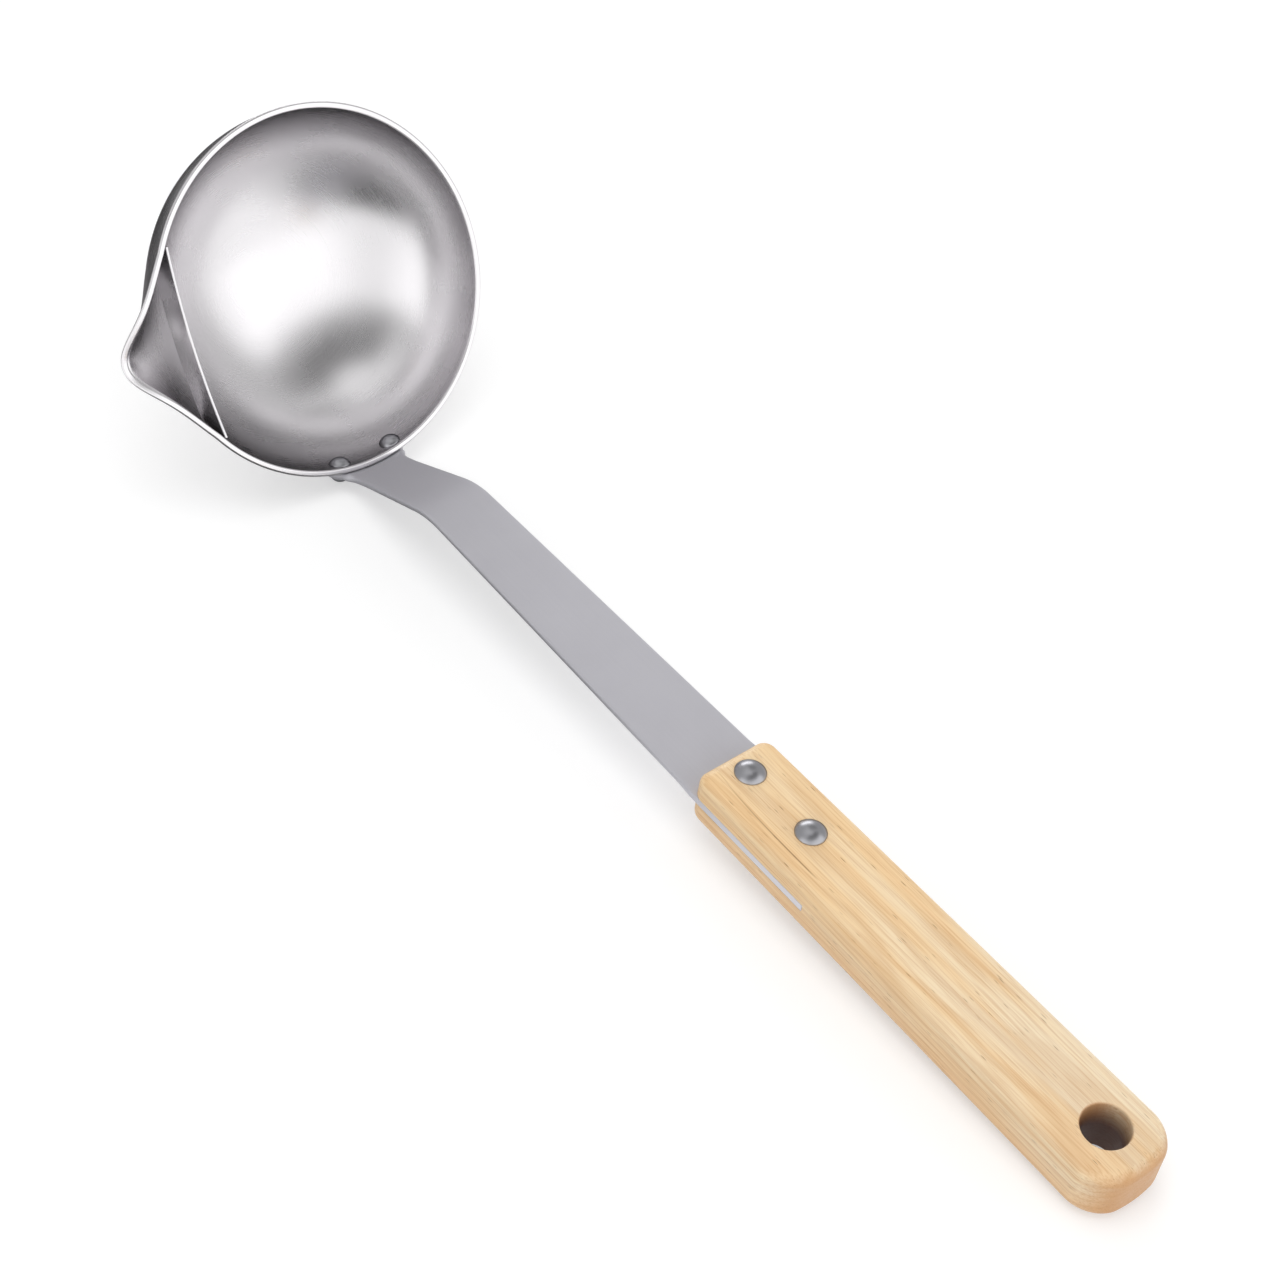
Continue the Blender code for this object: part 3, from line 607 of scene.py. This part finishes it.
def makeRubberwood():
    look = rubberwood
    material, tree = newMaterial("rubberwood_sanded_oiled")
    own = addNode(tree, "ShaderNodeAttribute", {"attribute_name": "own"}).outputs["Vector"]
    spot = addNode(tree, "ShaderNodeSeparateXYZ", None, {0: own}).outputs
    noises = {}
    for name, detail in (("figure", 3.0), ("drift", 2.0), ("fibre", 2.0)):
        along, across = look[name + "Mm"]
        stretch = addNode(
            tree, "ShaderNodeMapping", {"Scale": (1 / along, 1 / across, 1 / across)}, {"Vector": own})
        noise = addNode(
            tree, "ShaderNodeTexNoise", {"Scale": 1.0, "Detail": detail}, {"Vector": stretch.outputs[0]})
        noises[name] = noise.outputs["Fac"]

    # growth lines: rings about a heart that lies below the handle, let drift along the grain
    fromHeart = addNode(
        tree, "ShaderNodeMapping",
        {"Location": (0, -look["heart"][0], -look["heart"][1]), "Scale": (0, 1, 1)}, {"Vector": own})
    ringRadius = addNode(tree, "ShaderNodeVectorMath", {"operation": "LENGTH"}, {0: fromHeart.outputs[0]})
    drifted = addNode(
        tree, "ShaderNodeMath", {"operation": "MULTIPLY_ADD", 1: look["drift"]},
        {0: noises["drift"], 2: ringRadius.outputs["Value"]})
    ringTurn = addNode(
        tree, "ShaderNodeMath", {"operation": "DIVIDE", 1: look["ringMm"]}, {0: drifted.outputs[0]})
    ringWave = addNode(tree, "ShaderNodeMath", {"operation": "PINGPONG", 1: 0.5}, {0: ringTurn.outputs[0]})
    ringLine = addNode(
        tree, "ShaderNodeMapRange",
        {"interpolation_type": "SMOOTHSTEP", "From Min": look["ringEdge"][0], "From Max": look["ringEdge"][1]},
        {"Value": ringWave.outputs[0]})

    # pores: short dashes, kept in about half of the cells
    along, across = look["poreMm"]
    poreStretch = addNode(
        tree, "ShaderNodeMapping", {"Scale": (1 / along, 1 / across, 1 / across)}, {"Vector": own})
    poreCell = addNode(tree, "ShaderNodeTexVoronoi", {"Scale": 1.0}, {"Vector": poreStretch.outputs[0]})
    porePick = addNode(tree, "ShaderNodeSeparateColor", None, {0: poreCell.outputs["Color"]})
    poreKeep = addNode(
        tree, "ShaderNodeMapRange", {"From Min": look["poreKeep"][0], "From Max": look["poreKeep"][1]},
        {"Value": porePick.outputs[0]})
    poreDash = addNode(
        tree, "ShaderNodeMapRange",
        {"interpolation_type": "SMOOTHSTEP", "From Min": look["poreEdge"][0], "From Max": look["poreEdge"][1],
         "To Min": 1.0, "To Max": 0.0}, {"Value": poreCell.outputs["Distance"]})
    pores = addNode(
        tree, "ShaderNodeMath", {"operation": "MULTIPLY"}, {0: poreKeep.outputs[0], 1: poreDash.outputs[0]})

    # one long dark line in the grain, near the -Y edge of the upper face
    streakDecay = addNode(
        tree, "ShaderNodeMath", {"operation": "MULTIPLY", 1: -1 / look["streakBendMm"]}, {0: spot["X"]})
    streakCurve = addNode(tree, "ShaderNodeMath", {"operation": "EXPONENT"}, {0: streakDecay.outputs[0]})
    streakMiddle = addNode(
        tree, "ShaderNodeMath", {"operation": "MULTIPLY_ADD", 1: look["streakBend"], 2: look["streakSide"]},
        {0: streakCurve.outputs[0]})
    streakWobble = addNode(
        tree, "ShaderNodeMath", {"operation": "MULTIPLY_ADD", 1: look["streakWobble"]},
        {0: noises["drift"], 2: streakMiddle.outputs[0]})
    streakAway = addNode(
        tree, "ShaderNodeMath", {"operation": "SUBTRACT"}, {0: spot["Y"], 1: streakWobble.outputs[0]})
    streakNear = addNode(tree, "ShaderNodeMath", {"operation": "ABSOLUTE"}, {0: streakAway.outputs[0]})
    streak = addNode(
        tree, "ShaderNodeMapRange",
        {"interpolation_type": "SMOOTHSTEP", "From Min": 0.0, "From Max": look["streakMm"],
         "To Min": 1.0, "To Max": 0.0}, {"Value": streakNear.outputs[0]}).outputs[0]
    start, full, wane, stop = look["streakEnds"]
    for source, first, last, low, high in (
            (spot["X"], start, full, look["streakStart"], 1.0), (spot["X"], wane, stop, 1.0, 0.0),
            (spot["Z"], *look["streakTop"], 0.0, 1.0)):
        fade = addNode(
            tree, "ShaderNodeMapRange", {"From Min": first, "From Max": last, "To Min": low, "To Max": high},
            {"Value": source})
        streak = addNode(
            tree, "ShaderNodeMath", {"operation": "MULTIPLY"}, {0: streak, 1: fade.outputs[0]}).outputs[0]

    # end grain shows where the surface faces along the handle, the drilled wall where it lies round the hole;
    # that wall is oil-darkened end grain with painted shade that deepens down the hole
    facing = addNode(tree, "ShaderNodeNewGeometry")
    lengthwise = handlePlace.to_3x3() @ Vector((1, 0, 0))
    endOn = addNode(
        tree, "ShaderNodeVectorMath", {"operation": "DOT_PRODUCT", 1: lengthwise},
        {0: facing.outputs["Normal"]})
    fromHole = addNode(
        tree, "ShaderNodeMapping",
        {"Location": ((wood["holeFromEnd"] - wood["length"]) / mm, 0, 0), "Scale": (1, 1, 0)}, {"Vector": own})
    holeAway = addNode(tree, "ShaderNodeVectorMath", {"operation": "LENGTH"}, {0: fromHole.outputs[0]})
    wall, rim = [wood["hole"] / 2 / mm + past for past in look["holeRimMm"]]
    drilled = addNode(
        tree, "ShaderNodeMapRange", {"From Min": wall, "From Max": rim, "To Min": 1.0, "To Max": 0.0},
        {"Value": holeAway.outputs["Value"]})
    # painted shade: the hole's wall darkens from near the top face down to the middle of the thickness
    holeShade = addNode(
        tree, "ShaderNodeMapRange",
        {"From Min": look["holeShadeMm"][0], "From Max": look["holeShadeMm"][1],
         "To Min": look["holeMouth"], "To Max": 1.0}, {"Value": spot["Z"]})
    drilledAndShaded = addNode(
        tree, "ShaderNodeMath", {"operation": "MULTIPLY"}, {0: drilled.outputs[0], 1: holeShade.outputs[0]})

    # from the ground up: colour, what it follows, from where to where, and its share at both
    layers = (
        ("straw", noises["figure"], 0.36, 0.56, 0.0, 1.0), ("warmFigureAndShade", noises["figure"], 0.50, 0.74, 0.0, 0.8),
        # painted shade: the warm layer that follows height makes the handle warmer and darker toward its lower
        # face
        ("gold", spot["X"], 0.0, 120.0, 0.55, 0.0), ("warmFigureAndShade", spot["Z"], 2.0, -6.0, 0.0, 0.85),
        ("line", ringLine.outputs[0], 0.0, 1.0, 0.0, 0.22),
        ("line", noises["fibre"], 0.42, 0.72, 0.0, 0.40), ("pore", pores.outputs[0], 0.0, 1.0, 0.0, 0.72),
        ("pore", streak, 0.0, 1.0, 0.0, 0.75), ("endGrain", endOn.outputs["Value"], 0.25, 0.85, 0.0, 0.75),
        ("holeWallAndShade", drilledAndShaded.outputs[0], 0.0, 1.0, 0.0, 0.95))
    colour = None
    for name, source, first, last, low, high in layers:
        share = addNode(
            tree, "ShaderNodeMapRange", {"From Min": first, "From Max": last, "To Min": low, "To Max": high},
            {"Value": source})
        layer = addNode(
            tree, "ShaderNodeMix",
            {"data_type": "RGBA", 6: toLinear(look["pale"]), 7: toLinear(look[name])}, {0: share.outputs[0]})
        if colour:
            tree.links.new(colour, layer.inputs[6])
        colour = layer.outputs[2]

    first, last, less, more = look["sheen"]
    gloss = addNode(
        tree, "ShaderNodeMapRange",
        {"From Min": first, "From Max": last, "To Min": look["roughness"] + less,
         "To Max": look["roughness"] + more}, {"Value": noises["fibre"]})
    dents = addNode(
        tree, "ShaderNodeMath", {"operation": "MULTIPLY_ADD", 1: look["poreDent"]},
        {0: pores.outputs[0], 2: noises["fibre"]})
    relief = addNode(
        tree, "ShaderNodeBump", {"Strength": look["relief"], "Distance": look["reliefMm"] * mm},
        {"Height": dents.outputs[0]})
    shader = addNode(
        tree, "ShaderNodeBsdfPrincipled", None,
        {"Base Color": colour, "Roughness": gloss.outputs[0], "Normal": relief.outputs[0]})
    addNode(tree, "ShaderNodeOutputMaterial", None, {"Surface": shader.outputs["BSDF"]})
    return material


bowlSteel = makeSteel("stainless_steel_spun_satin", spunSteel)
strapSteel = makeSteel("stainless_steel_rolled_tumbled", stripSteel)
rivetSteel = makeSteel("stainless_steel_cold_headed", headedSteel)
paleWood = makeRubberwood()
print("materials made")
addPiece("bowl_shell", makeBowl(), "bowl", bowlSteel)
addPiece("separator", makePlate(), "separator_plate", bowlSteel)
addPiece("strap_steel", makeStrap(), "shank", strapSteel)
grip = addPiece("rubberwood_grip", makeWood(), "wood_handle", paleWood)
grip.modifiers.new("even faces", "WEIGHTED_NORMAL").keep_sharp = True
makeRivets(rivetSteel)
print("pieces made")

# studio: white paper floor in a pale room, a long soft light in front and a small one behind,
# with darker patches in the ceiling, round the camera and on the back wall for the steel to mirror
studio = {
    "floorSize": 60.0, "floorDrop": 0.05 * mm, "paper": "d2d2d2", "lift": 0.42, "shine": 0.6,
    "room": 0.62, "zenith": 0.98, "roomFade": (38, 84),
    # by direction, in degrees: fades at the right, left, lower and upper edge, then level or darkening
    "boxes": {"softbox": ((-130, -92), (42, 78), (-40, -30), (34, 56), 1.45),
              "back_box": ((120, 138), (160, 176), (2, 12), (22, 36), 3.4)},
    "bands": {"ceiling": ((-95, -45), (52, 92), (40, 60), (68, 82), 0.75),
              "camera_stand": ((-80, -44), (-40, -4), (-20, 6), (30, 56), 0.25),
              "back_wall": ((84, 104), (140, 160), (36, 46), (70, 84), 0.5)},
    "lampPower": 4.2, "lampSize": 0.9, "lampPlace": (0.05, -0.1, 1.3),
    # dark cards on the floor: middle, turn, how much longer than wide, radius where the dark ends,
    # radius where it is gone, cover
    # the front card is painted shade on the floor in front of the bowl, for the steel to mirror
    "cards": {"front_shade_card": (-0.045, -0.075, -60, 1.3, 0.055, 0.11, 0.95),
              "back_card": (-0.62, 0.0, 0, 1.0, 0.34, 0.48, 0.9)},
    "card": "1c1c1e", "cardLift": 0.2 * mm, "cardSteps": 64,
}
floorMesh = bpy.data.meshes.new("floor")
reach = studio["floorSize"] / 2
corners = [(-reach, -reach, 0), (reach, -reach, 0), (reach, reach, 0), (-reach, reach, 0)]
floorMesh.from_pydata(corners, [], [(0, 1, 2, 3)])
floor = bpy.data.objects.new("floor", floorMesh)
scene.collection.objects.link(floor)
floor.location.z = -studio["floorDrop"]
floorPaint, tree = newMaterial("matt_white_paper")
path = addNode(tree, "ShaderNodeLightPath").outputs
lift = None
for ray, share in (("Is Camera Ray", "lift"), ("Is Transmission Ray", "lift"), ("Is Glossy Ray", "shine")):
    lifted = addNode(
        tree, "ShaderNodeMath", {"operation": "MULTIPLY_ADD", 1: studio[share], 2: 0.0}, {0: path[ray]})
    if lift:
        tree.links.new(lift.outputs[0], lifted.inputs[2])
    lift = lifted
paper = addNode(tree, "ShaderNodeBsdfDiffuse", {"Color": toLinear(studio["paper"])})
glow = addNode(tree, "ShaderNodeEmission", None, {"Strength": lift.outputs[0]})
both = addNode(tree, "ShaderNodeAddShader", None, {0: paper.outputs[0], 1: glow.outputs[0]})
addNode(tree, "ShaderNodeOutputMaterial", None, {"Surface": both.outputs[0]})
floorMesh.materials.append(floorPaint)

# soft-edged dark cards in front of the bowl and behind it, which only the steel sees; the front one is painted
# shade on the floor before the bowl
for name, (x, y, swing, stretch, full, gone, cover) in studio["cards"].items():
    cardMesh = bpy.data.meshes.new(name)
    steps = studio["cardSteps"]
    cardMesh.from_pydata(circle(gone, 0.0, steps), [], [tuple(range(steps))])
    card = bpy.data.objects.new(name, cardMesh)
    scene.collection.objects.link(card)
    card.location = (x, y, studio["cardLift"])
    card.rotation_euler.z = math.radians(swing)
    card.scale.x = stretch
    for ray in ("camera", "diffuse", "transmission", "shadow", "volume_scatter"):
        setattr(card, "visible_" + ray, False)
    cardPaint, tree = newMaterial("charcoal_" + name)
    place = addNode(tree, "ShaderNodeTexCoord")
    away = addNode(tree, "ShaderNodeVectorMath", {"operation": "LENGTH"}, {0: place.outputs["Object"]})
    fade = addNode(
        tree, "ShaderNodeMapRange",
        {"interpolation_type": "SMOOTHSTEP", "From Min": full, "From Max": gone,
         "To Min": cover, "To Max": 0.0}, {"Value": away.outputs["Value"]})
    clear = addNode(tree, "ShaderNodeBsdfTransparent")
    shade = addNode(tree, "ShaderNodeBsdfDiffuse", {"Color": toLinear(studio["card"])})
    both = addNode(
        tree, "ShaderNodeMixShader", None, {0: fade.outputs[0], 1: clear.outputs[0], 2: shade.outputs[0]})
    addNode(tree, "ShaderNodeOutputMaterial", None, {"Surface": both.outputs[0]})
    cardMesh.materials.append(cardPaint)

lamp = bpy.data.objects.new("overhead", bpy.data.lights.new("overhead", "AREA"))
scene.collection.objects.link(lamp)
lamp.location = studio["lampPlace"]
lamp.data.size = studio["lampSize"]
lamp.data.energy = studio["lampPower"]
lamp.visible_glossy = False

# the room by direction: height above the horizon and way round, in radians, each fade smooth
world = bpy.data.worlds.new("studio")
world.use_nodes = True
scene.world = world
tree = world.node_tree
tree.nodes.clear()
way = addNode(tree, "ShaderNodeTexCoord").outputs["Generated"]
parts = addNode(tree, "ShaderNodeSeparateXYZ", None, {0: way}).outputs
height = addNode(tree, "ShaderNodeMath", {"operation": "ARCSINE"}, {0: parts["Z"]}).outputs[0]
turn = addNode(tree, "ShaderNodeMath", {"operation": "ARCTAN2"}, {0: parts["Y"], 1: parts["X"]}).outputs[0]


# share of a patch of the room: full inside its four fades, none outside them
def patchShare(right, left, bottom, top, amount):
    share = None
    for source, ends, low, high in (
            (turn, right, 0.0, amount), (turn, left, 1.0, 0.0),
            (height, bottom, 0.0, 1.0), (height, top, 1.0, 0.0)):
        fade = addNode(
            tree, "ShaderNodeMapRange",
            {"interpolation_type": "SMOOTHSTEP", "From Min": math.radians(ends[0]),
             "From Max": math.radians(ends[1]), "To Min": low, "To Max": high}, {"Value": source}).outputs[0]
        if share:
            fade = addNode(tree, "ShaderNodeMath", {"operation": "MULTIPLY"}, {0: share, 1: fade}).outputs[0]
        share = fade
    return share


level = addNode(
    tree, "ShaderNodeMapRange",
    {"interpolation_type": "SMOOTHSTEP", "From Min": math.radians(studio["roomFade"][0]),
     "From Max": math.radians(studio["roomFade"][1]), "To Min": studio["room"], "To Max": studio["zenith"]},
    {"Value": height}).outputs[0]
for edges in studio["boxes"].values():
    level = addNode(
        tree, "ShaderNodeMath", {"operation": "MAXIMUM"}, {0: level, 1: patchShare(*edges)}).outputs[0]
for edges in studio["bands"].values():
    kept = addNode(tree, "ShaderNodeMath", {"operation": "SUBTRACT", 0: 1.0}, {1: patchShare(*edges)})
    level = addNode(
        tree, "ShaderNodeMath", {"operation": "MULTIPLY"}, {0: level, 1: kept.outputs[0]}).outputs[0]
glow = addNode(tree, "ShaderNodeBackground", {"Color": (1, 1, 1, 1)}, {"Strength": level})
addNode(tree, "ShaderNodeOutputWorld", None, {"Surface": glow.outputs[0]})
print("studio lit")
